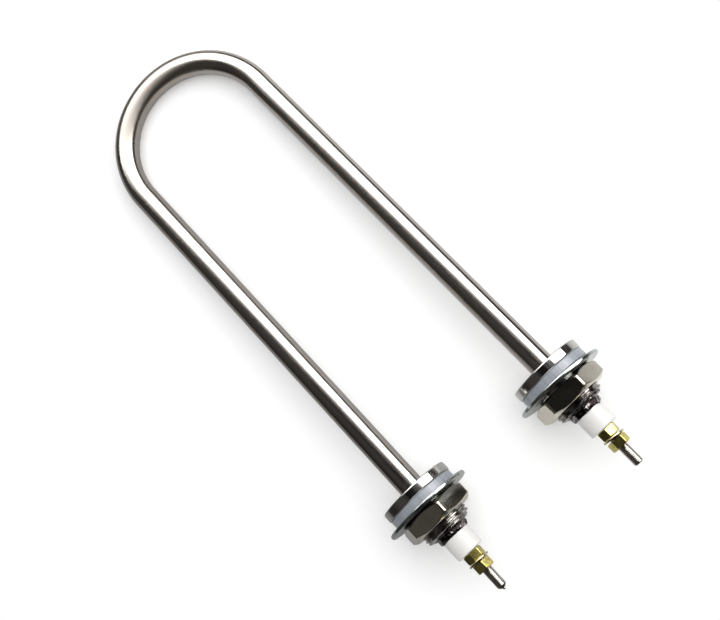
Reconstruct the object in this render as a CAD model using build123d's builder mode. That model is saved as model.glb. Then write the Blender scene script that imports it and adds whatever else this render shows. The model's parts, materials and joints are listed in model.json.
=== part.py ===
from build123d import *
import os
from math import cos, radians, sin, tan

os.makedirs("parts", exist_ok=True)

# A U-shaped tubular heating element for a tank wall. The U lies in the XY plane with its legs along X,
# its bend towards -X and its terminals towards +X. The sealing faces of the flanges meet the tank wall
# at x = 0, half way between the legs. All sizes are in millimetres.

# U tube
tube_diameter = 10.0
tube_wall = 0.8
leg_spacing = 66.0  # centre to centre, so the bend's centreline radius is half of it
immersed_length = 200.0  # from the right flange's wet face to the outside of the bend
fitting_stagger = 1.3  # the left fitting is brazed this much further out than the right one

# threaded bushings, M20 x 1.5
thread_diameter = 20.0
thread_pitch = 1.5
flange_rim = 4.8  # flange edge beyond the thread
flange_thickness = 3.8
flange_edge = 0.45
shank_length = 16.5  # sealing face to the end of the thread
lead_in_length = 1.4
lead_in_depth = 1.8
neck_wall = 1.65
neck_length = 2.4
neck_edge = 0.5
crimp_depth = 0.35  # how far the crimped flats bite into the neck
crimp_count = 8  # flats pressed round the neck
braze_gap = 0.05

# gaskets, flat washers and hexagon nuts on the bushings
gasket_rim = 4.4
gasket_thickness = 3.4
gasket_clearance = 0.2
gasket_edge = 0.25
washer_rim = 8.25
washer_thickness = 1.5
washer_clearance = 0.5
washer_edge = 0.2
nut_wall = 3.0  # flat to thread
nut_height = 7.2

# insulators and end seals
insulator_shoulder = 0.75  # how far the insulator stands out past the sheath
insulator_length = 8.0
insulator_edge = 0.5
insulator_play = 0.15
spigot_length = 5.0
spigot_gap = 0.05
seal_length = 4.0

# terminal pins, M4, with their brass nuts and washers
stud_diameter = 4.0
stud_pitch = 0.7
stud_length = 17.0  # beyond the insulator
cold_length = 45.0  # from the sealing face to the pin's inner end
contact_nut_wall = 1.5
contact_nut_height = 3.7
contact_washer_rim = 2.5
contact_washer_thickness = 0.9
contact_washer_play = 0.15
contact_washer_edge = 0.1

# resistance coil
coil_diameter = 4.6
coil_wire = 0.6
coil_overlap = 8.0  # length of coil that is wound onto each pin

# shared fits
thread_gap = 0.02  # between a nut's thread and its bolt, at the pitch diameter
run_out = 0.25  # engaged thread shows this far past the nut
pitch_depth = 0.3248  # crest to pitch line of a metric thread, in pitches
bearing_share = 0.95  # a nut's round bearing face, as a share of its width across flats
nut_chamfer_angle = 30.0

# what differs between the two fittings: the washers hang a little askew, and the nuts stopped where they did
fittings = {
    "left": {
        "y": leg_spacing / 2,
        "advance": fitting_stagger,
        "washer_tilt": 2.2,
        "washer_lean": 150.0,
        "nut_turn": 7.1,
        "contact_washer_tilt": 4.0,
        "contact_washer_lean": 175.0,
        "inner_nut_turn": 40.0,
        "outer_nut_turn": 57.3,
        "tip_chamfer": 0.45,
        "tip_nib": 0.0,
    },
    "right": {
        "y": -leg_spacing / 2,
        "advance": 0.0,
        "washer_tilt": 0.6,
        "washer_lean": 60.0,
        "nut_turn": 9.4,
        "contact_washer_tilt": 0.8,
        "contact_washer_lean": 20.0,
        "inner_nut_turn": 42.0,
        "outer_nut_turn": 22.8,
        "tip_chamfer": 0.9,
        "tip_nib": 0.8,
    },
}

# radii and stations that follow from the sizes above; stations are measured from the sealing face
tube_radius = tube_diameter / 2
bore_radius = tube_radius - tube_wall
bend_radius = leg_spacing / 2
bend_x = -flange_thickness - immersed_length + tube_radius + bend_radius
thread_radius = thread_diameter / 2
thread_pitch_radius = thread_radius - pitch_depth * thread_pitch
flange_radius = thread_radius + flange_rim
gasket_radius = thread_radius + gasket_rim
washer_radius = thread_radius + washer_rim
nut_across_flats = 2 * (thread_radius + nut_wall)
stud_radius = stud_diameter / 2
stud_pitch_radius = stud_radius - pitch_depth * stud_pitch
contact_nut_across_flats = 2 * (stud_radius + contact_nut_wall)
contact_washer_radius = stud_radius + contact_washer_rim
neck_radius = tube_radius + braze_gap + neck_wall
coil_radius = coil_diameter / 2
coil_bore_radius = coil_radius - coil_wire
sheath_end = shank_length + neck_length
insulator_end = sheath_end + insulator_length
seal_end = sheath_end - spigot_length
fill_end = seal_end - seal_length
stud_end = insulator_end + stud_length


def station(side, x):
    """Plane across the leg, its own x along +Y and its own y along +Z."""
    fitting = fittings[side]
    return Plane(origin=(fitting["advance"] + x, fitting["y"], 0), x_dir=(0, 1, 0), z_dir=(1, 0, 0))


def half_section(side):
    """Plane through the leg's axis: its own x is the station, its own y the radius."""
    fitting = fittings[side]
    return Plane(origin=(fitting["advance"], fitting["y"], 0), x_dir=(1, 0, 0), z_dir=(0, 0, 1))


def leg_axis(side):
    fitting = fittings[side]
    return Axis((fitting["advance"], fitting["y"], 0), (1, 0, 0))


def finish(part, name):
    part.label = name
    export_step(part, f"parts/{name}.step")


def turned(side, outline):
    """Solid of revolution about the leg, from points given as (station, radius)."""
    with BuildPart() as body:
        with BuildSketch(half_section(side)):
            with BuildLine():
                Polyline(*outline, close=True)
            make_face()
        revolve(axis=leg_axis(side))
    return body.part


def u_bar(radius, left_end, right_end):
    """Round bar bent to the U, ending at the given stations of the two fittings."""
    with BuildPart() as bar:
        for side, end in (("left", left_end), ("right", right_end)):
            fitting = fittings[side]
            with BuildSketch(Plane(origin=(bend_x, fitting["y"], 0), z_dir=(1, 0, 0))):
                Circle(radius)
            extrude(amount=fitting["advance"] + end - bend_x)
        with BuildSketch(Plane(origin=(bend_x, bend_radius, 0), z_dir=(1, 0, 0))):
            Circle(radius)
        revolve(axis=Axis((bend_x, 0, 0), (0, 0, 1)), revolution_arc=180)
    return bar.part


def seated_washer(side, seat, seat_radius, next_radius, thickness, tilt, lean):
    """Where an askew washer lies: its middle plane, and the station of the face that comes after it.

    It touches the seat's rim on one side and the next face's rim on the other.
    """
    angle = radians(tilt)
    middle = seat + (thickness / 2 + seat_radius * sin(angle)) / cos(angle)
    next_face = middle + (thickness / 2 + next_radius * sin(angle)) / cos(angle)
    fitting = fittings[side]
    across = sin(angle)
    normal = (cos(angle), across * cos(radians(lean)), across * sin(radians(lean)))
    plane = Plane(origin=(fitting["advance"] + middle, fitting["y"], 0), z_dir=normal)
    return plane, next_face


def flat_ring(plane, outer, inner, thickness, edge):
    with BuildPart() as ring:
        with BuildSketch(plane):
            Circle(outer)
            Circle(inner, mode=Mode.SUBTRACT)
        extrude(amount=thickness / 2, both=True)
        rims = ring.edges().filter_by(GeomType.CIRCLE).group_by(SortBy.RADIUS)[-1]
        chamfer(rims, edge)
    return ring.part


def hexagon_nut(side, start, across_flats, height, thread, clear_radius, turn):
    """Nut with both ends chamfered to a round bearing face and its bore countersunk past the thread."""
    corner = across_flats / 2 / cos(radians(30))
    bearing = across_flats / 2 * bearing_share
    rise = (corner - bearing) * tan(radians(nut_chamfer_angle))
    end = start + height
    lathe = turned(
        side,
        [
            (start, 0),
            (start, bearing),
            (start + rise, corner),
            (end - rise, corner),
            (end, bearing),
            (end, 0),
        ],
    )
    with BuildPart() as nut:
        with BuildSketch(station(side, start)):
            RegularPolygon(across_flats / 2, 6, major_radius=False, rotation=turn)
            Circle(thread, mode=Mode.SUBTRACT)
        extrude(amount=height)
        add(lathe, mode=Mode.INTERSECT)
        mouths = nut.edges().filter_by(GeomType.CIRCLE).group_by(SortBy.RADIUS)[0]
        chamfer(mouths, clear_radius - thread)
    return nut.part


def make_bushing(side, nut_end):
    """Flange, shank and crimped neck in one turned piece, bored for the sheath.

    The thread is a plain cylinder: at its pitch diameter under the nut, where the flanks meet,
    and at its full diameter where it stands free past the nut.
    """
    free_start = nut_end + run_out
    lead_in = shank_length - lead_in_length
    sheath_bore = tube_radius + braze_gap
    outline = [
        (-flange_thickness, sheath_bore),
        (-flange_thickness, flange_radius - flange_edge),
        (flange_edge - flange_thickness, flange_radius),
        (-flange_edge, flange_radius),
        (0, flange_radius - flange_edge),
        (0, thread_pitch_radius),
        (free_start, thread_pitch_radius),
        (free_start, thread_radius),
        (lead_in, thread_radius),
        (shank_length, thread_radius - lead_in_depth),
        (shank_length, neck_radius),
        (sheath_end - neck_edge, neck_radius),
        (sheath_end, neck_radius - neck_edge),
        (sheath_end, sheath_bore),
    ]
    with BuildPart() as bushing:
        add(turned(side, outline))
        with BuildSketch(station(side, shank_length)):
            Circle(thread_radius)
            RegularPolygon(neck_radius - crimp_depth, crimp_count, major_radius=False, mode=Mode.SUBTRACT)
        extrude(amount=neck_length, mode=Mode.SUBTRACT)
    finish(bushing.part, f"{side}_bushing")


def make_insulator(side):
    """White ceramic tube: a spigot that plugs the sheath, and a collar that stands out of it."""
    bore = stud_radius + insulator_play
    collar = tube_radius + insulator_shoulder
    spigot = bore_radius - spigot_gap
    outline = [
        (seal_end, bore),
        (seal_end, spigot),
        (sheath_end, spigot),
        (sheath_end, collar),
        (insulator_end - insulator_edge, collar),
        (insulator_end, collar - insulator_edge),
        (insulator_end, bore),
    ]
    finish(turned(side, outline), f"{side}_insulator")


def make_terminal_pin(side, nut_end):
    """Cold pin and terminal stud in one bar. Its M4 thread is drawn the way the bushing's is."""
    fitting = fittings[side]
    tip_chamfer = fitting["tip_chamfer"]
    tip_radius = stud_radius - tip_chamfer
    nib = fitting["tip_nib"]
    free_start = nut_end + run_out
    outline = [
        (-cold_length, 0),
        (-cold_length, coil_bore_radius),
        (coil_overlap - cold_length, coil_bore_radius),
        (coil_overlap - cold_length, stud_pitch_radius),
        (free_start, stud_pitch_radius),
        (free_start, stud_radius),
        (stud_end - tip_chamfer, stud_radius),
        (stud_end, tip_radius),
    ]
    if nib:
        outline += [(stud_end, nib), (stud_end + nib, nib / 2), (stud_end + nib, 0)]
    else:
        outline += [(stud_end, 0)]
    pin = turned(side, outline)
    finish(pin, f"{side}_terminal_pin")
    return pin


def make_fitting(side):
    """Every piece at one end of the U. Returns the terminal pin, which the powder is packed round."""
    fitting = fittings[side]

    gasket_plane = station(side, gasket_thickness / 2)
    gasket_bore = thread_radius + gasket_clearance
    gasket = flat_ring(gasket_plane, gasket_radius, gasket_bore, gasket_thickness, gasket_edge)
    finish(gasket, f"{side}_gasket")

    bearing = nut_across_flats / 2 * bearing_share
    tilt, lean = fitting["washer_tilt"], fitting["washer_lean"]
    washer_plane, nut_start = seated_washer(
        side, gasket_thickness, gasket_radius, bearing, washer_thickness, tilt, lean
    )
    washer_bore = thread_radius + washer_clearance
    washer = flat_ring(washer_plane, washer_radius, washer_bore, washer_thickness, washer_edge)
    finish(washer, f"{side}_flat_washer")

    nut_bore = thread_pitch_radius + thread_gap
    nut = hexagon_nut(
        side, nut_start, nut_across_flats, nut_height, nut_bore, thread_radius + run_out, fitting["nut_turn"]
    )
    finish(nut, f"{side}_hex_nut")
    make_bushing(side, nut_start + nut_height)
    make_insulator(side)

    seal = turned(
        side,
        [
            (fill_end, stud_pitch_radius),
            (fill_end, bore_radius),
            (seal_end, bore_radius),
            (seal_end, stud_pitch_radius),
        ],
    )
    finish(seal, f"{side}_end_seal")

    contact_bore = stud_pitch_radius + thread_gap
    contact_clear = stud_radius + run_out / 2
    inner_nut = hexagon_nut(
        side,
        insulator_end,
        contact_nut_across_flats,
        contact_nut_height,
        contact_bore,
        contact_clear,
        fitting["inner_nut_turn"],
    )
    finish(inner_nut, f"{side}_inner_brass_nut")

    bearing = contact_nut_across_flats / 2 * bearing_share
    tilt, lean = fitting["contact_washer_tilt"], fitting["contact_washer_lean"]
    seat = insulator_end + contact_nut_height
    washer_plane, outer_start = seated_washer(side, seat, bearing, bearing, contact_washer_thickness, tilt, lean)
    contact_washer = flat_ring(
        washer_plane,
        contact_washer_radius,
        stud_radius + contact_washer_play,
        contact_washer_thickness,
        contact_washer_edge,
    )
    finish(contact_washer, f"{side}_brass_washer")

    outer_nut = hexagon_nut(
        side,
        outer_start,
        contact_nut_across_flats,
        contact_nut_height,
        contact_bore,
        contact_clear,
        fitting["outer_nut_turn"],
    )
    finish(outer_nut, f"{side}_outer_brass_nut")
    return make_terminal_pin(side, outer_start + contact_nut_height)


left_pin = make_fitting("left")
right_pin = make_fitting("right")

# stainless sheath, open at both ends
with BuildPart() as sheath_tube:
    add(u_bar(tube_radius, sheath_end, sheath_end))
    add(u_bar(bore_radius, sheath_end, sheath_end), mode=Mode.SUBTRACT)
finish(sheath_tube.part, "sheath_tube")

# close-wound resistance wire, as the tube that its turns fill, wound onto a pin at each end
coil_end = coil_overlap - cold_length
with BuildPart() as resistance_coil:
    add(u_bar(coil_radius, coil_end, coil_end))
    add(u_bar(coil_bore_radius, coil_end, coil_end), mode=Mode.SUBTRACT)
finish(resistance_coil.part, "resistance_coil")

# magnesia powder, rolled tight round the coil and the pins, with a core inside the coil
with BuildPart() as magnesia_fill:
    add(u_bar(bore_radius, fill_end, fill_end))
    add(resistance_coil.part, mode=Mode.SUBTRACT)
    add(left_pin, mode=Mode.SUBTRACT)
    add(right_pin, mode=Mode.SUBTRACT)
finish(magnesia_fill.part, "magnesia_fill")
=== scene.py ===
import json
import math
import bmesh
import bpy
from mathutils import Matrix, Vector, noise


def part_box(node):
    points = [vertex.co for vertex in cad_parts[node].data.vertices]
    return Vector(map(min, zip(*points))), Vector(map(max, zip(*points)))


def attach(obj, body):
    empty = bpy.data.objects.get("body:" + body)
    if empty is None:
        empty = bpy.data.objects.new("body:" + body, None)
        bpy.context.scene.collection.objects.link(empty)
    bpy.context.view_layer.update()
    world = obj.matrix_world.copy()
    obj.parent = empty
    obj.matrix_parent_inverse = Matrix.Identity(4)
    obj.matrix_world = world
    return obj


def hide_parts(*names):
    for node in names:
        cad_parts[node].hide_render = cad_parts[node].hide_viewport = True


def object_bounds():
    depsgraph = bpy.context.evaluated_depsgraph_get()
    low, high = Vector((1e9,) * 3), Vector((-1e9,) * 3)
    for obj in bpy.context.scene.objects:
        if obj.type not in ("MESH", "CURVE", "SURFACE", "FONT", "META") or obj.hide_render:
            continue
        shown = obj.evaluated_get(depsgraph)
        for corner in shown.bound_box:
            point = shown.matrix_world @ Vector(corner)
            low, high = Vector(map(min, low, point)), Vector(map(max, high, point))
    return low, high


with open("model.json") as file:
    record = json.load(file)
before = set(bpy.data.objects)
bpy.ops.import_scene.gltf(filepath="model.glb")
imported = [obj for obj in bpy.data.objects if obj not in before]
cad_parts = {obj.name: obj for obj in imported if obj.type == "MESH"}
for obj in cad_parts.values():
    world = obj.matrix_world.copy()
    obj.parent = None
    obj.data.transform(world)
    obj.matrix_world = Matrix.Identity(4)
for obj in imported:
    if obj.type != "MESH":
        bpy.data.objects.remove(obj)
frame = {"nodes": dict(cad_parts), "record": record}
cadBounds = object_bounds()

mm = 0.001
fullTurn = 2 * math.pi
alongLegs = Vector((1, 0, 0))
sides = ("left", "right")
weld = 0.0005 * mm  # points nearer than this are one
hair = 0.01  # millimetres, keeps a row of points apart from the next and off a limit

print("frame loaded:", len(frame["nodes"]), "nodes")


# where the two fittings are: the middle of each leg, on the sealing face that the gasket starts from
def legOrigin(side):
    low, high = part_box(f"{side}_gasket")
    return Vector((low.x, (low.y + high.y) / 2, 0))


def nodeStart(side, name):
    return (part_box(f"{side}_{name}")[0].x - legOrigin(side).x) / mm


def nodeEnd(side, name):
    return (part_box(f"{side}_{name}")[1].x - legOrigin(side).x) / mm


# materials: shared effects first, as node groups that put out one mask each
def newGroup(name, inputs, output):
    group = bpy.data.node_groups.new(name, "ShaderNodeTree")
    for label, value in inputs:
        socket = group.interface.new_socket(label, in_out="INPUT", socket_type="NodeSocketFloat")
        socket.default_value = value
    group.interface.new_socket(output, in_out="OUTPUT", socket_type="NodeSocketFloat")
    return group, group.nodes.new("NodeGroupInput"), group.nodes.new("NodeGroupOutput")


def feed(tree, socket, value):  # a link where value is a socket, otherwise a fixed value
    if isinstance(value, bpy.types.NodeSocket):
        tree.links.new(value, socket)
    elif isinstance(value, tuple) and len(value) == 3 and len(socket.default_value) == 4:
        socket.default_value = (*value, 1)
    else:
        socket.default_value = value


def addMath(tree, operation, *values):
    node = tree.nodes.new("ShaderNodeMath")
    node.operation = operation
    for socket, value in zip(node.inputs, values):
        feed(tree, socket, value)
    return node.outputs[0]


def addNoise(tree, vector, scale, detail, rough):
    node = tree.nodes.new("ShaderNodeTexNoise")
    for label, value in (("Vector", vector), ("Scale", scale), ("Detail", detail), ("Roughness", rough)):
        feed(tree, node.inputs[label], value)
    return node.outputs["Fac"]


def mapRange(tree, value, fromLow, fromHigh, toLow=0.0, toHigh=1.0):
    node = tree.nodes.new("ShaderNodeMapRange")
    for socket, given in zip(node.inputs, (value, fromLow, fromHigh, toLow, toHigh)):
        feed(tree, socket, given)
    return node.outputs["Result"]


def objectPoint(tree, stretch=(1.0, 1.0, 1.0)):
    place = tree.nodes.new("ShaderNodeTexCoord")
    mapping = tree.nodes.new("ShaderNodeMapping")
    mapping.inputs["Scale"].default_value = stretch
    tree.links.new(place.outputs["Object"], mapping.inputs["Vector"])
    return mapping.outputs["Vector"]


def splitPoint(tree):
    place = tree.nodes.new("ShaderNodeTexCoord")
    split = tree.nodes.new("ShaderNodeSeparateXYZ")
    tree.links.new(place.outputs["Object"], split.inputs[0])
    return split.outputs


def makeMottle():  # soft blotches, from 0 to 1
    group, given, result = newGroup("mottle", [("Scale", 200.0), ("Low", 0.4), ("High", 0.6)], "Mask")
    value = addNoise(group, objectPoint(group), given.outputs["Scale"], detail=4.0, rough=0.55)
    mask = mapRange(group, value, given.outputs["Low"], given.outputs["High"])
    group.links.new(mask, result.inputs["Mask"])
    return group


grainStretch = (0.02, 1.0, 1.0)  # a small first number draws the lines out along the legs


def makeGrain():  # lines that run along the legs
    group, given, result = newGroup("grain", [("Scale", 9000.0), ("Low", 0.3), ("High", 0.7)], "Mask")
    value = addNoise(group, objectPoint(group, grainStretch), given.outputs["Scale"], detail=2.0, rough=0.5)
    mask = mapRange(group, value, given.outputs["Low"], given.outputs["High"])
    group.links.new(mask, result.inputs["Mask"])
    return group


def makeZone():  # 0 up to one station along the legs, 1 past another, in metres
    group, given, result = newGroup("zone", [("From", 0.0), ("To", 0.01)], "Mask")
    mask = mapRange(group, splitPoint(group)["X"], given.outputs["From"], given.outputs["To"])
    group.links.new(mask, result.inputs["Mask"])
    return group


mottle = makeMottle()
grain = makeGrain()
zone = makeZone()
pitLimits = {"Low": 0.3, "High": 0.7}
shadeLimits = {"Low": 0.35, "High": 0.65}


def useGroup(tree, group, values):
    node = tree.nodes.new("ShaderNodeGroup")
    node.node_tree = group
    for label, value in values.items():
        node.inputs[label].default_value = value
    return node.outputs[0]


def newMaterial(name, values, metallic):
    material = bpy.data.materials.new(name)
    material.use_nodes = True
    shader = material.node_tree.nodes["Principled BSDF"]
    feed(material.node_tree, shader.inputs["Base Color"], values["colour"])
    shader.inputs["Metallic"].default_value = metallic
    shader.inputs["Roughness"].default_value = values["roughness"]
    return material, material.node_tree, shader


def mixColours(tree, mask, first, second):
    node = tree.nodes.new("ShaderNodeMix")
    node.data_type = "RGBA"
    for label, value in (("Factor", mask), ("A", first), ("B", second)):
        isColour = label != "Factor"
        socket = next(s for s in node.inputs if s.name == label and (s.type == "RGBA") == isColour)
        feed(tree, socket, value)
    return next(s for s in node.outputs if s.type == "RGBA")


def addBump(tree, shader, height):  # height in millimetres
    node = tree.nodes.new("ShaderNodeBump")
    node.inputs["Strength"].default_value = 1.0
    node.inputs["Distance"].default_value = mm
    tree.links.new(height, node.inputs["Height"])
    tree.links.new(node.outputs["Normal"], shader.inputs["Normal"])


def addVectorMath(tree, operation, first, second):
    node = tree.nodes.new("ShaderNodeVectorMath")
    node.operation = operation
    feed(tree, node.inputs[0], first)
    feed(tree, node.inputs[1], second)
    return node.outputs[0]


def tubeDirection(tree):  # along the legs, and round the bend
    low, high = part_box("sheath_tube")
    bendX = low.x + (high.y - low.y) / 2
    place = tree.nodes.new("ShaderNodeTexCoord")
    fromBend = addVectorMath(tree, "SUBTRACT", place.outputs["Object"], (bendX, 0.0, 0.0))
    inBend = addVectorMath(tree, "MINIMUM", fromBend, (0.0, 1.0, 1.0))
    return addVectorMath(tree, "CROSS_PRODUCT", inBend, (0.0, 0.0, 1.0))


# metal whose colour and gloss drift a little over the surface, and change from one stretch to the next
def platedMetal(name, values):
    material, tree, shader = newMaterial(name, values, 1.0)
    mask = useGroup(tree, mottle, values["blotches"])
    colour = mixColours(tree, mask, values["colour"], values["stain"])
    rough = mapRange(tree, mask, 0.0, 1.0, values["roughness"], values["stainRoughness"])
    height = addMath(tree, "MULTIPLY", mask, values.get("pitDepth", 0.0))
    if "grainDepth" in values:
        lines = useGroup(tree, grain, {"Scale": values["grainScale"]})
        height = addMath(tree, "MULTIPLY_ADD", lines, values["grainDepth"], height)
    for stretch in values.get("stretches", []):
        there = useGroup(tree, zone, {"From": stretch["from"] * mm, "To": stretch["to"] * mm})
        stretchShown = there
        if "glintSpecks" in stretch:  # painted glints: specks of the brighter first colour that stand in for glints on a dark stretch
            glintMask = useGroup(tree, mottle, stretch["glintSpecks"])
            stretchShown = addMath(tree, "MULTIPLY", there, addMath(tree, "SUBTRACT", 1.0, glintMask))
        colour = mixColours(tree, stretchShown, colour, stretch["colour"])
        rough = mapRange(tree, there, 0.0, 1.0, rough, stretch["roughness"])
        pits = useGroup(tree, mottle, {"Scale": stretch["pitScale"], **pitLimits})
        depth = addMath(tree, "MULTIPLY", there, stretch["pitDepth"])
        height = addMath(tree, "MULTIPLY_ADD", pits, depth, height)
    tree.links.new(colour, shader.inputs["Base Color"])
    tree.links.new(rough, shader.inputs["Roughness"])
    if "brushed" in values:
        shader.inputs["Anisotropic"].default_value = values["brushed"]
        tree.links.new(tubeDirection(tree), shader.inputs["Tangent"])
    addBump(tree, shader, height)
    return material


# rubber, ceramic and powder: a colour that varies softly
def dullSolid(name, values):
    material, tree, shader = newMaterial(name, values, 0.0)
    shader.inputs["Specular IOR Level"].default_value = values.get("shine", 0.5)
    group = grain if "streakScale" in values else mottle
    scale = values.get("streakScale") or values["blotchScale"]
    mask = useGroup(tree, group, {"Scale": scale, **shadeLimits})
    tree.links.new(mixColours(tree, mask, values["colour"], values["shade"]), shader.inputs["Base Color"])
    addBump(tree, shader, addMath(tree, "MULTIPLY", mask, values["relief"]))
    return material


sheathSteel = {
    "colour": (0.43, 0.40, 0.375),
    "stain": (0.39, 0.355, 0.325),
    "roughness": 0.165,
    "stainRoughness": 0.20,
    "brushed": 0.9,  # how much more the polish blurs reflections along the tube than across it
    "blotches": {"Scale": 60.0, "Low": 0.35, "High": 0.7},
    "grainScale": 7000.0,
    "grainDepth": 0.002,
    "stretches": [
        {
            "from": -180, "to": -193,  # the outside of the bend is rougher and duller; its slightly paler, warmer colour is a painted sheen
            "colour": (0.45, 0.41, 0.37), "roughness": 0.40, "pitScale": 2500.0, "pitDepth": 0.002,
        },
    ],
}
bushingNickel = {
    "colour": (0.56, 0.55, 0.53),
    "stain": (0.44, 0.43, 0.42),
    "roughness": 0.09,
    "stainRoughness": 0.16,
    "blotches": {"Scale": 160.0, "Low": 0.4, "High": 0.7},
    "grainScale": 700.0,
    "grainDepth": 0.03,
    "stretches": [
        {
            "from": 8, "to": 10,  # the thread is painted darker than the flange: painted shade and dark reflection on its flanks, over a brownish tint
            "colour": (0.20, 0.165, 0.15), "roughness": 0.14, "pitScale": 900.0, "pitDepth": 0.012,
            # painted glints: bright specks and streaks on the dark thread
            "glintSpecks": {"Scale": 500.0, "Low": 0.42, "High": 0.56},
        },
        {
            "from": 15.9, "to": 16.6,  # and the crimped neck painted nearly black: a painted dark reflection of the room in the same nickel
            "colour": (0.02, 0.016, 0.016), "roughness": 0.15, "pitScale": 800.0, "pitDepth": 0.12,
            # painted glints: bright specks on the black neck
            "glintSpecks": {"Scale": 620.0, "Low": 0.50, "High": 0.57},
        },
    ],
}
nutNickel = {
    "colour": (0.72, 0.68, 0.59),
    "stain": (0.64, 0.60, 0.52),
    "roughness": 0.10,
    "stainRoughness": 0.15,
    "blotches": {"Scale": 160.0, "Low": 0.4, "High": 0.7},
    "pitDepth": 0.002,
}
brightZinc = {
    "colour": (0.52, 0.555, 0.54),
    "stain": (0.30, 0.33, 0.32),
    "roughness": 0.17,
    "stainRoughness": 0.20,
    "blotches": {"Scale": 420.0, "Low": 0.42, "High": 0.66},
    "pitDepth": 0.035,
    "grainScale": 900.0,
    "grainDepth": 0.02,
}
terminalSteel = {
    "colour": (0.58, 0.55, 0.50),
    "stain": (0.38, 0.35, 0.31),
    "roughness": 0.12,
    "stainRoughness": 0.22,
    "blotches": {"Scale": 900.0, "Low": 0.45, "High": 0.7},
    "pitDepth": 0.004,
}
freshBrass = {
    "colour": (0.66, 0.575, 0.20),
    "stain": (0.42, 0.345, 0.08),
    "roughness": 0.14,
    "stainRoughness": 0.26,
    "blotches": {"Scale": 500.0, "Low": 0.45, "High": 0.75},
    "pitDepth": 0.006,
}
washerBrass = {
    "colour": (0.74, 0.64, 0.40),
    "stain": (0.50, 0.38, 0.20),
    "roughness": 0.22,
    "stainRoughness": 0.30,
    "blotches": {"Scale": 700.0, "Low": 0.45, "High": 0.75},
    "pitDepth": 0.006,
}
darkWire = {
    "colour": (0.20, 0.18, 0.16),
    "stain": (0.10, 0.09, 0.08),
    "roughness": 0.45,
    "stainRoughness": 0.6,
    "blotches": {"Scale": 300.0, "Low": 0.4, "High": 0.7},
}
gasketRubber = {
    "colour": (0.36, 0.38, 0.42),
    "shade": (0.28, 0.30, 0.34),
    "roughness": 0.32,
    "shine": 0.8,
    "streakScale": 1100.0,
    "relief": 0.012,
}
glazedCeramic = {
    "colour": (0.90, 0.89, 0.86),
    "shade": (0.86, 0.85, 0.82),
    "roughness": 0.38,
    "blotchScale": 120.0,
    "relief": 0.002,
}
pressedPowder = {
    "colour": (0.80, 0.78, 0.74),
    "shade": (0.66, 0.64, 0.60),
    "roughness": 0.9,
    "blotchScale": 300.0,
    "relief": 0.02,
}
redSilicone = {
    "colour": (0.45, 0.07, 0.04),
    "shade": (0.36, 0.05, 0.03),
    "roughness": 0.55,
    "blotchScale": 300.0,
    "relief": 0.01,
}

materials = {
    "sheath": platedMetal("polishedSheath", sheathSteel),
    "bushing_nickel": platedMetal("bushingNickel", bushingNickel),
    "nut_nickel": platedMetal("nutNickel", nutNickel),
    "zinc_washer": platedMetal("brightZinc", brightZinc),
    "terminal_steel": platedMetal("terminalSteel", terminalSteel),
    "brass_nut": platedMetal("freshBrass", freshBrass),
    "brass_washer": platedMetal("washerBrass", washerBrass),
    "resistance_wire": platedMetal("darkWire", darkWire),
    "gasket_rubber": dullSolid("gasketRubber", gasketRubber),
    "insulator_ceramic": dullSolid("glazedCeramic", glazedCeramic),
    "magnesia": dullSolid("pressedPowder", pressedPowder),
    "end_seal": dullSolid("redSilicone", redSilicone),
}
for part in frame["record"]["subparts"]:
    node = frame["nodes"][part["node"]]
    node.data.materials.clear()
    node.data.materials.append(materials[part["material_slot"]])
print("materials made:", len(materials))


# shaping: every piece is spun or extruded, and put in its place in its own mesh
def addOutline(bm, origin, outline, closed=True):  # points as (station, radius), in millimetres
    points = [bm.verts.new(origin + Vector((x * mm, r * mm, 0))) for x, r in outline]
    pairs = list(zip(points, points[1:]))
    if closed:
        pairs.append((points[-1], points[0]))
    return points + [bm.edges.new(pair) for pair in pairs]


def turnOutline(bm, origin, outline, steps, closed=True):
    geometry = addOutline(bm, origin, outline, closed)
    bmesh.ops.spin(
        bm, geom=geometry, cent=origin, axis=alongLegs, dvec=(0, 0, 0), angle=fullTurn, steps=steps,
        use_merge=True,
    )
    bmesh.ops.remove_doubles(bm, verts=bm.verts, dist=weld)


def sharpEdges(bm, degrees):
    limit = math.radians(degrees)
    return [e for e in bm.edges if len(e.link_faces) == 2 and e.calc_face_angle(0) > limit]


def roundEdges(bm, width, segments=3, degrees=30, among=None):
    edges = [e for e in sharpEdges(bm, degrees) if among is None or among(e)]
    bmesh.ops.bevel(
        bm, geom=edges, offset=width * mm, offset_type="OFFSET", affect="EDGES", segments=segments,
        profile=0.5, material=-1, clamp_overlap=True,
    )


def pastRadius(origin, radius):  # picks the edges that lie further out than this, in millimetres
    return lambda edge: all((v.co - origin).yz.length > radius * mm for v in edge.verts)


def finishPiece(bm, name, slot, nodeName, crease=40):
    bmesh.ops.recalc_face_normals(bm, faces=bm.faces)
    for face in bm.faces:
        face.smooth = True
    for edge in sharpEdges(bm, crease):
        edge.smooth = False
    mesh = bpy.data.meshes.new(name)
    bm.to_mesh(mesh)
    bm.free()
    piece = bpy.data.objects.new(name, mesh)
    bpy.context.scene.collection.objects.link(piece)
    mesh.materials.append(materials[slot])
    evenNormals = piece.modifiers.new("evenNormals", "WEIGHTED_NORMAL")
    evenNormals.keep_sharp = True
    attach(piece, "root")
    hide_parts(nodeName)
    return piece


# sheath: one bent tube with its wall
sheath = {"radius": 5.0, "wall": 0.8, "sidesAround": 96, "bendSteps": 128}


def onlyEdges(geometry):
    return [g for g in geometry if isinstance(g, bmesh.types.BMEdge)]


def onlyVerts(geometry):
    return [g for g in geometry if isinstance(g, bmesh.types.BMVert)]


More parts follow.
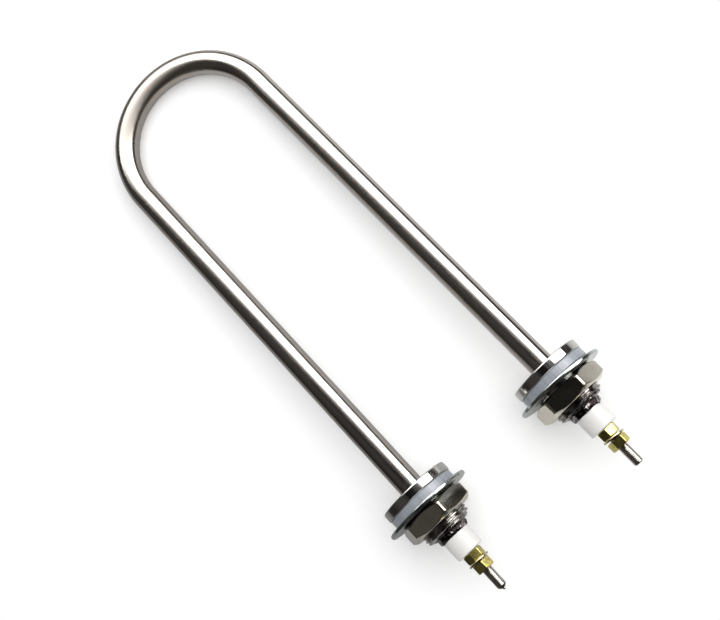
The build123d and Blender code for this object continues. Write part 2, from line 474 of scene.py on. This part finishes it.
def makeSheath():
    low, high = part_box("sheath_tube")
    legY = legOrigin("left").y
    leftEnd = high.x
    rightEnd = high.x + legOrigin("right").x - legOrigin("left").x
    bendX = low.x + legY + sheath["radius"] * mm
    across = Matrix.Translation((leftEnd, legY, 0)) @ Matrix.Rotation(math.radians(90), 4, "Y")
    bm = bmesh.new()
    ends = []
    for radius in (sheath["radius"], sheath["radius"] - sheath["wall"]):
        ring = bmesh.ops.create_circle(
            bm, cap_ends=False, radius=radius * mm, segments=sheath["sidesAround"], matrix=across
        )["verts"]
        firstRing = list({e for v in ring for e in v.link_edges})
        run = bmesh.ops.extrude_edge_only(bm, edges=firstRing)["geom"]
        bmesh.ops.translate(bm, verts=onlyVerts(run), vec=(bendX - leftEnd, 0, 0))
        bend = bmesh.ops.spin(
            bm, geom=onlyVerts(run) + onlyEdges(run), cent=(bendX, 0, 0), axis=(0, 0, 1), dvec=(0, 0, 0),
            angle=math.pi, steps=sheath["bendSteps"], use_merge=False,
        )["geom_last"]
        run = bmesh.ops.extrude_edge_only(bm, edges=onlyEdges(bend))["geom"]
        bmesh.ops.translate(bm, verts=onlyVerts(run), vec=(rightEnd - bendX, 0, 0))
        ends.append((firstRing, onlyEdges(run)))
    for outerEnd, innerEnd in zip(*ends):
        bmesh.ops.bridge_loops(bm, edges=outerEnd + innerEnd)
    bmesh.ops.remove_doubles(bm, verts=bm.verts, dist=weld)
    finishPiece(bm, "sheath", "sheath", "sheath_tube")


makeSheath()
print("sheath made")


# bushings: flange, threaded shank and crimped neck
bushing = {
    "bore": 5.05,
    "flangeRadius": 14.8,
    "flangeThickness": 3.8,
    "flangeRounding": 0.6,
    "threadRadius": 10.0,
    "pitch": 1.5,
    "threadDepth": 0.8,
    "threadPhase": 0.15,
    "crestFlatness": 1.8,
    "rowsPerPitch": 14,
    "shankLength": 16.5,
    "leadInLength": 1.6,
    "leadInDepth": 2.0,
    "leadInCurve": 1.5,  # above 1 the shoulder starts gently
    "insideNut": 0.3,  # how far the cut thread starts inside the nut
    "stepsAround": 160,
}
neck = {
    "radius": 6.75,
    "length": 2.4,
    "rows": 8,
    "crimps": 8,
    "crimpDepth": 0.35,
    "crinkle": 0.30,  # how uneven the crimped metal is
    "crinklesAround": 4.4,
    "crinklesAlong": 0.8,
    "edgeDrop": 0.5,  # how far the end curls in
    "edgeCurve": 4,
    "endWave": 0.18,
    "wavesPerCrinkle": 0.7,
}
neckLumps = {  # metal squeezed out past the end
    "left": {"angle": 27.0, "width": 13.0, "length": 0.6},
    "right": {"angle": 150.0, "width": 16.0, "length": 0.15},
}


def outward(origin, point):  # station and radius in millimetres, and the angle round the leg
    offset = point - origin
    return offset.x / mm, math.hypot(offset.y, offset.z) / mm, math.atan2(offset.z, offset.y)


def placeAt(origin, x, radius, angle):
    return origin + Vector((x, radius * math.cos(angle), radius * math.sin(angle))) * mm


# rows of vertices between two stations move in to the thread's flanks, with round crests and roots
def shapeThread(bm, origin, first, last, outer, thread, limit):
    for vert in bm.verts:
        x, radius, angle = outward(origin, vert.co)
        if first < x < last and abs(radius - outer) < hair:
            turn = (x / thread["pitch"] - angle / fullTurn + thread["threadPhase"]) % 1.0
            wave = 0.5 - 0.5 * math.cos(fullTurn * turn)
            depth = thread["threadDepth"] * wave ** thread["crestFlatness"]
            runIn = min(1.0, (x - first) / thread["pitch"])
            vert.co = placeAt(origin, x, min(outer, limit(x)) - depth * runIn, angle)


def shapeNeck(bm, origin, side):
    lump = neckLumps[side]
    sector = fullTurn / neck["crimps"]
    for vert in bm.verts:
        x, radius, angle = outward(origin, vert.co)
        if x < bushing["shankLength"] + 2 * hair or radius < neck["radius"] - hair:
            continue
        share = (x - bushing["shankLength"]) / neck["length"]
        fromMiddle = (angle % sector) - sector / 2
        crimped = min(neck["radius"], (neck["radius"] - neck["crimpDepth"]) / math.cos(fromMiddle))
        around = Vector((math.cos(angle), math.sin(angle), 0)) * neck["crinklesAround"]
        spot = around + Vector((0, 0, x * neck["crinklesAlong"] + origin.y / mm))
        crinkle = neck["crinkle"] * noise.noise(spot)
        away = (math.degrees(angle) - lump["angle"] + 180) % 360 - 180
        squeezed = lump["length"] * math.exp(-((away / lump["width"]) ** 2))
        wave = neck["endWave"] * noise.noise(spot * neck["wavesPerCrinkle"])
        curl = neck["edgeDrop"] * share ** neck["edgeCurve"]
        vert.co = placeAt(origin, x + share * (squeezed + wave), crimped + crinkle - curl, angle)


def makeBushing(side):
    b = bushing
    origin = legOrigin(side)
    root = b["threadRadius"] - b["threadDepth"]
    start = nodeEnd(side, "hex_nut") - b["insideNut"]
    rows = int((b["shankLength"] - start) / b["pitch"] * b["rowsPerPitch"])
    step = (b["shankLength"] - start) / rows
    neckEnd = b["shankLength"] + neck["length"]
    shankStations = [start + step * i for i in range(rows + 1)]
    neckStations = [b["shankLength"] + neck["length"] * i / neck["rows"] for i in range(neck["rows"] + 1)]
    outline = [
        (-b["flangeThickness"], b["bore"]),
        (-b["flangeThickness"], b["flangeRadius"]),
        (0, b["flangeRadius"]),
        (0, root),
        (start - hair, root),
        *[(x, b["threadRadius"]) for x in shankStations],
        *[(x, neck["radius"]) for x in neckStations],
        (neckEnd, b["bore"]),
    ]
    bm = bmesh.new()
    turnOutline(bm, origin, outline, b["stepsAround"])
    leadIn = b["shankLength"] - b["leadInLength"]

    def limit(x):
        share = max(0.0, x - leadIn) / b["leadInLength"]
        return b["threadRadius"] - b["leadInDepth"] * share ** b["leadInCurve"]

    shapeThread(bm, origin, start, b["shankLength"] + hair, b["threadRadius"], b, limit)
    shapeNeck(bm, origin, side)
    onRim = pastRadius(origin, b["flangeRadius"] - hair)
    roundEdges(bm, b["flangeRounding"], segments=4, degrees=40, among=onRim)
    finishPiece(bm, f"{side}Bushing", "bushing_nickel", f"{side}_bushing", crease=55)


# rings: gaskets and washers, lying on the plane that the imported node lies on
gasket = {"outer": 14.4, "inner": 10.2, "thickness": 3.4, "rounding": 0.3, "steps": 160}
flatWasher = {"outer": 18.25, "inner": 10.5, "thickness": 1.5, "rounding": 0.45, "steps": 160}
brassWasher = {"outer": 4.5, "inner": 2.15, "thickness": 0.9, "rounding": 0.38, "steps": 96}


# middle and direction of a ring, from the flat face with the most area that looks along the legs
def nodeAxis(nodeName):
    mesh = frame["nodes"][nodeName].data
    face = max(mesh.polygons, key=lambda p: p.area if p.normal.x > 0.9 else 0)
    low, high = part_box(nodeName)
    return (low + high) / 2, face.normal.copy()


def makeRing(side, label, nodeLabel, slot, values):
    nodeName = f"{side}_{nodeLabel}"
    middle, normal = nodeAxis(nodeName)
    half = values["thickness"] / 2
    outline = [
        (-half, values["inner"]),
        (-half, values["outer"]),
        (half, values["outer"]),
        (half, values["inner"]),
    ]
    bm = bmesh.new()
    turnOutline(bm, Vector((0, 0, 0)), outline, values["steps"])
    roundEdges(bm, values["rounding"])
    lean = alongLegs.rotation_difference(normal).to_matrix().to_4x4()
    bmesh.ops.transform(bm, matrix=Matrix.Translation(middle) @ lean, verts=bm.verts)
    finishPiece(bm, f"{side}{label}", slot, nodeName)


# hexagon nuts: a chamfered disc cut by six planes
hexNut = {
    "flats": 26.0,
    "bore": 9.53,
    "mouth": 10.25,
    "bearing": 0.95,  # the bearing face's width, as a share of the width across flats
    "chamfer": 31,
    "rounding": 0.25,
    "corner": 1.7,
    "steps": 192,
}
brassNut = {
    "flats": 7.0,
    "bore": 1.8,
    "mouth": 2.1,
    "bearing": 0.95,
    "chamfer": 30,
    "rounding": 0.15,
    "corner": 0.6,
    "steps": 120,
}
cornerPlanes = (0, -18, 18)  # degrees from a corner at which a plane cuts it, to make it round
cornerEdges = 21  # degrees between two faces past which the edge is rounded, more than those planes leave
trimAllowance = 0.3  # millimetres that the disc stands past the corners before it is cut
mouthRim = 0.05  # millimetres past the mouth inside which no edge is rounded
nutTurns = {
    "left_hex_nut": 7.1,
    "right_hex_nut": 9.4,
    "left_inner_brass_nut": 40.0,
    "left_outer_brass_nut": 57.3,
    "right_inner_brass_nut": 42.0,
    "right_outer_brass_nut": 18.0,
}


def makeNut(side, label, nodeLabel, slot, values):
    nodeName = f"{side}_{nodeLabel}"
    origin = legOrigin(side)
    start, end = nodeStart(side, nodeLabel), nodeEnd(side, nodeLabel)
    half = values["flats"] / 2
    corner = half / math.cos(math.radians(30))
    bearing = half * values["bearing"]
    rise = (corner - bearing) * math.tan(math.radians(values["chamfer"]))
    sink = values["mouth"] - values["bore"]
    reach = corner + trimAllowance
    lift = rise * (reach - bearing) / (corner - bearing)
    outline = [
        (start, values["mouth"]),
        (start, bearing),
        (start + lift, reach),
        (end - lift, reach),
        (end, bearing),
        (end, values["mouth"]),
        (end - sink, values["bore"]),
        (start + sink, values["bore"]),
    ]
    bm = bmesh.new()
    turnOutline(bm, origin, outline, values["steps"])
    arcMiddle = (half - values["corner"]) / math.cos(math.radians(30))  # the middle of a corner's arc
    planes = [(30 + 60 * i, half) for i in range(6)]
    for fromCorner in cornerPlanes:
        distance = arcMiddle * math.cos(math.radians(fromCorner)) + values["corner"]
        planes += [(60 * i + fromCorner, distance) for i in range(6)]
    for direction, distance in planes:
        angle = math.radians(nutTurns[nodeName] + direction)
        normal = Vector((0, math.cos(angle), math.sin(angle)))
        cut = bmesh.ops.bisect_plane(
            bm, geom=bm.verts[:] + bm.edges[:] + bm.faces[:], dist=weld,
            plane_co=origin + normal * distance * mm, plane_no=normal, clear_outer=True,
        )["geom_cut"]
        bmesh.ops.contextual_create(bm, geom=onlyEdges(cut))
    outsideMouth = pastRadius(origin, values["mouth"] + mouthRim)
    roundEdges(bm, values["rounding"], degrees=cornerEdges, among=outsideMouth)
    finishPiece(bm, f"{side}{label}", slot, nodeName, crease=30)


# insulators: a spigot in the sheath and a collar past it
insulator = {"bore": 2.15, "spigot": 4.15, "collar": 5.75, "spigotLength": 5.0, "rounding": 0.8, "steps": 128}


def makeInsulator(side):
    origin = legOrigin(side)
    start, end = nodeStart(side, "insulator"), nodeEnd(side, "insulator")
    shoulder = start + insulator["spigotLength"]
    outline = [
        (start, insulator["bore"]),
        (start, insulator["spigot"]),
        (shoulder, insulator["spigot"]),
        (shoulder, insulator["collar"]),
        (end, insulator["collar"]),
        (end, insulator["bore"]),
    ]
    bm = bmesh.new()
    turnOutline(bm, origin, outline, insulator["steps"])
    onRim = pastRadius(origin, insulator["collar"] - hair)
    outerFace = origin.x + (end - hair) * mm

    def atOuterRim(edge):
        return onRim(edge) and all(v.co.x > outerFace for v in edge.verts)

    roundEdges(bm, insulator["rounding"], segments=4, degrees=40, among=atOuterRim)
    finishPiece(bm, f"{side}Insulator", "insulator_ceramic", f"{side}_insulator")


# terminal pins: the stud is threaded to its tip
pin = {
    "coilBore": 1.7,
    "coilOverlap": 8.0,
    "radius": 2.0,
    "coreRadius": 1.773,
    "pitch": 0.7,
    "threadDepth": 0.09,
    "threadPhase": 0.0,
    "crestFlatness": 1.0,
    "rowsPerPitch": 10,
    "pastInsulator": 0.2,
    "steps": 64,
}
pinTips = {"left": {"chamfer": 0.45, "nib": 0.0}, "right": {"chamfer": 0.9, "nib": 0.8, "nibRadius": 0.6}}


def makePin(side):
    origin = legOrigin(side)
    inner = nodeStart(side, "terminal_pin")
    tip = pinTips[side]
    end = nodeEnd(side, "terminal_pin") - tip["nib"]
    start = nodeEnd(side, "insulator") + pin["pastInsulator"]
    rows = int((end - start) / pin["pitch"] * pin["rowsPerPitch"])
    step = (end - start) / rows
    root = pin["radius"] - pin["threadDepth"]
    outline = [
        (inner, 0),
        (inner, pin["coilBore"]),
        (inner + pin["coilOverlap"], pin["coilBore"]),
        (inner + pin["coilOverlap"], pin["coreRadius"]),
        (start - 2 * hair, root),
        *[(start + step * i, pin["radius"]) for i in range(rows + 1)],
    ]
    if tip["nib"]:
        r = tip["nibRadius"]
        nibEnd = end + tip["nib"]
        outline += [(end + 2 * hair, r), (nibEnd - r / 2, r), (nibEnd, r / 2), (nibEnd, 0)]
    else:
        outline += [(end + 2 * hair, 0)]
    bm = bmesh.new()
    turnOutline(bm, origin, outline, pin["steps"], closed=False)

    def limit(x):
        return pin["radius"] - max(0.0, x - (end - tip["chamfer"]))

    shapeThread(bm, origin, start, end + hair, pin["radius"], pin, limit)
    finishPiece(bm, f"{side}TerminalPin", "terminal_steel", f"{side}_terminal_pin")


for side in sides:
    makeBushing(side)
    makeRing(side, "Gasket", "gasket", "gasket_rubber", gasket)
    makeRing(side, "FlatWasher", "flat_washer", "zinc_washer", flatWasher)
    makeNut(side, "HexNut", "hex_nut", "nut_nickel", hexNut)
    makeInsulator(side)
    makePin(side)
    makeNut(side, "InnerBrassNut", "inner_brass_nut", "brass_nut", brassNut)
    makeRing(side, "BrassWasher", "brass_washer", "brass_washer", brassWasher)
    makeNut(side, "OuterBrassNut", "outer_brass_nut", "brass_nut", brassNut)
    print(side, "fitting made")


# studio: the table touches the washers' rims and the underside of the bend
studio = {
    "tableSize": 3.0,
    "tableColour": (0.93, 0.93, 0.93),
    "tableGlow": 0.22,  # keeps the table white to the edges of the view
    "tableNear": 0.02,  # in reflections the table is bright this near to the object
    "tableFar": 0.14,  # and painted dark past here, a painted shade for the light falling off and the table's end
    "tableShare": {"X": 3.0, "Y": 1.0},  # it darkens sooner past the ends than past the sides
    "tableDim": [(-0.06, 0.4), (0.04, 1.0)],  # and painted dimmer on the right leg's side, a painted shade for the side that lies further from the light and in the leg's shadow
    "tableDark": 0.05,
    "tableRoughness": 0.9,
    "whiteNear": 0.02,  # to the camera the table starts to turn plain white here
    "whiteFar": 0.16,  # and is plain white, without shadow, past here
}
# flat soft lights: softPanel lights the dull surfaces, the others show only in the metal
panelPivot = (0.306, 0.25)  # the panels in the metal turn about this point of the near edge
panelTurn = 2.8
mirrorSides = {"left": -1.17, "right": 1.40, "height": 0.60}
panels = {
    "softPanel": {
        "near": -0.15, "far": 0.95, "left": -0.35, "right": 1.25, "height": 0.80, "strength": 1.384,
    },
    "glossPanel": {"near": 0.306, "far": 2.1, "strength": 5.3, **mirrorSides},
    "edgePanel": {"near": 0.206, "far": 0.306, "strength": 0.2, **mirrorSides},
    "footPanel": {"near": 0.106, "far": 0.206, "strength": 0.06, **mirrorSides},
}
roomTint = (1.0, 0.92, 0.87)
roomRamp = [
    (-1.0, 0.03), (-0.81, 0.08), (-0.45, 0.07), (-0.31, 0.01), (-0.03, 0.008), (0.1, 0.03), (0.3, 0.055),
]
fillTint = (1.0, 1.0, 1.0)
fillRamp = [(-1.0, 0.28), (0.0, 0.58), (1.0, 0.78)]


def tableTilt():
    low = min((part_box(f"{side}_flat_washer")[0] for side in sides), key=lambda corner: corner.z)
    rimX = (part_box("left_flat_washer")[0].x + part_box("right_flat_washer")[1].x) / 2
    tube = sheath["radius"] * mm
    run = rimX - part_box("sheath_tube")[0].x - tube
    slope = math.atan2(low.z, run) + math.asin(tube / math.hypot(run, low.z))
    return Vector((rimX, 0, low.z)), -slope


def addShader(tree, kind, *inputs):
    node = tree.nodes.new(kind)
    for socket, value in zip(node.inputs, inputs):
        feed(tree, socket, value)
    return node.outputs[0]


# white to the camera with the object's shadow close to it; in reflections painted dark with distance and on
# the right leg's side, a painted shade that fades the table into the dark room
def makeTableMaterial():
    values = {"colour": studio["tableColour"], "roughness": studio["tableRoughness"]}
    material, tree, shader = newMaterial("whiteTable", values, 0.0)
    shader.inputs["Specular IOR Level"].default_value = 0.0
    rays = tree.nodes.new("ShaderNodeLightPath").outputs
    glow = addMath(tree, "MULTIPLY", rays["Is Camera Ray"], studio["tableGlow"])
    glowing = addShader(tree, "ShaderNodeEmission", fillTint, glow)
    lit = addShader(tree, "ShaderNodeAddShader", shader.outputs[0], glowing)
    point = splitPoint(tree)
    low, high = cadBounds
    squares = []
    for axis, label in enumerate("XY"):
        middle, half = (low[axis] + high[axis]) / 2, (high[axis] - low[axis]) / 2
        offset = addMath(tree, "ABSOLUTE", addMath(tree, "SUBTRACT", point[label], middle))
        beyond = addMath(tree, "MAXIMUM", addMath(tree, "SUBTRACT", offset, half), 0.0)
        scaled = addMath(tree, "MULTIPLY", beyond, studio["tableShare"][label])
        squares.append(addMath(tree, "MULTIPLY", scaled, scaled))
    distance = addMath(tree, "SQRT", addMath(tree, "ADD", *squares))
    far = mapRange(tree, distance, studio["tableNear"], studio["tableFar"])
    (rightY, rightShare), (leftY, leftShare) = studio["tableDim"]
    shown = mapRange(tree, point["Y"], rightY, leftY, rightShare, leftShare)
    kept = addMath(tree, "MULTIPLY", shown, addMath(tree, "SUBTRACT", 1.0, far))
    # painted shade: in reflections the table turns into this dark room colour
    dark = addShader(tree, "ShaderNodeEmission", roomTint, studio["tableDark"])
    hidden = addMath(tree, "MULTIPLY", rays["Is Glossy Ray"], addMath(tree, "SUBTRACT", 1.0, kept))
    seen = addShader(tree, "ShaderNodeMixShader", hidden, lit, dark)
    plain = mapRange(tree, distance, studio["whiteNear"], studio["whiteFar"])
    backdrop = addShader(tree, "ShaderNodeEmission", fillTint, 1.0)
    atCamera = addMath(tree, "MULTIPLY", rays["Is Camera Ray"], plain)
    surface = addShader(tree, "ShaderNodeMixShader", atCamera, seen, backdrop)
    output = next(n for n in tree.nodes if n.type == "OUTPUT_MATERIAL")
    tree.links.new(surface, output.inputs["Surface"])
    return material


def makeTable():
    touch, slope = tableTilt()
    bm = bmesh.new()
    place = Matrix.Translation(touch) @ Matrix.Rotation(slope, 4, "Y")
    bmesh.ops.create_grid(bm, x_segments=1, y_segments=1, size=studio["tableSize"] / 2, matrix=place)
    mesh = bpy.data.meshes.new("table")
    bm.to_mesh(mesh)
    bm.free()
    table = bpy.data.objects.new("table", mesh)
    bpy.context.scene.collection.objects.link(table)
    mesh.materials.append(makeTableMaterial())


# a flat light, with its edges measured from the origin towards the bend's left side and across that
def makePanel(name, values):
    along = Vector((-1, 1, 0)).normalized()
    across = Vector((1, 1, 0)).normalized()
    pivot = along * panelPivot[0] + across * panelPivot[1]
    swing = Matrix.Identity(4)
    inMetal = name != "softPanel"
    if inMetal:
        turned = Matrix.Rotation(math.radians(panelTurn), 4, "Z")
        swing = Matrix.Translation(pivot) @ turned @ Matrix.Translation(-pivot)
    near, far, left, right = (values[edge] for edge in ("near", "far", "left", "right"))
    light = bpy.data.lights.new(name, "AREA")
    light.shape = "RECTANGLE"
    light.size = right - left
    light.size_y = far - near
    light.energy = values["strength"] * math.pi * light.size * light.size_y
    panel = bpy.data.objects.new(name, light)
    middle = along * (near + far) / 2 + across * (left + right) / 2 + Vector((0, 0, values["height"]))
    turn = Matrix((across, along, Vector((0, 0, 1)))).transposed().to_4x4()
    panel.matrix_world = swing @ Matrix.Translation(middle) @ turn
    panel.visible_camera = False
    panel.visible_diffuse = not inMetal
    panel.visible_glossy = inMetal
    bpy.context.scene.collection.objects.link(panel)


# brightness of the surroundings by how far a direction leans towards the left leg
def surroundings(tree, tint, points):
    place = tree.nodes.new("ShaderNodeTexCoord")
    split = tree.nodes.new("ShaderNodeSeparateXYZ")
    tree.links.new(place.outputs["Generated"], split.inputs[0])
    ramp = tree.nodes.new("ShaderNodeValToRGB")
    tree.links.new(mapRange(tree, split.outputs["Y"], -1.0, 1.0), ramp.inputs["Fac"])
    elements = ramp.color_ramp.elements
    elements.remove(elements[1])
    for i, (lean, value) in enumerate(points):
        element = elements[0] if i == 0 else elements.new((lean + 1) / 2)
        element.position = (lean + 1) / 2
        element.color = (*(value * channel for channel in tint), 1)
    return addShader(tree, "ShaderNodeBackground", ramp.outputs["Color"], 1.0)


# white behind the table, a dark room in the metal, a soft fill on everything
def makeWorld():
    world = bpy.data.worlds.new("studio")
    bpy.context.scene.world = world
    world.use_nodes = True
    tree = world.node_tree
    tree.nodes.clear()
    output = tree.nodes.new("ShaderNodeOutputWorld")
    rays = tree.nodes.new("ShaderNodeLightPath").outputs
    fill = surroundings(tree, fillTint, fillRamp)
    room = surroundings(tree, roomTint, roomRamp)
    white = addShader(tree, "ShaderNodeBackground", (1.0, 1.0, 1.0), 1.0)
    lit = addShader(tree, "ShaderNodeMixShader", rays["Is Glossy Ray"], fill, room)
    seen = addShader(tree, "ShaderNodeMixShader", rays["Is Camera Ray"], lit, white)
    tree.links.new(seen, output.inputs["Surface"])


makeTable()
for name, values in panels.items():
    makePanel(name, values)
makeWorld()
print("studio made")


# camera
view = {
    "eye": (0.03217, 0.02856, 0.37402),
    "target": (-0.0670, -0.0013, 0.0),
    "up": (-0.6987, 0.7036, 0.1291),
    "lens": 50.31,
    "sensor": 36.0,
    "nearest": 0.01,
}


def makeCamera():
    eye, target = Vector(view["eye"]), Vector(view["target"])
    back = (eye - target).normalized()
    right = Vector(view["up"]).cross(back).normalized()
    turn = Matrix((right, back.cross(right), back)).transposed().to_4x4()
    lens = bpy.data.cameras.new("camera")
    lens.lens = view["lens"]
    lens.sensor_width = view["sensor"]
    lens.clip_start = view["nearest"]
    camera = bpy.data.objects.new("camera", lens)
    camera.matrix_world = Matrix.Translation(eye) @ turn
    bpy.context.scene.collection.objects.link(camera)
    bpy.context.scene.camera = camera


makeCamera()
bpy.context.scene.view_settings.view_transform = "Standard"
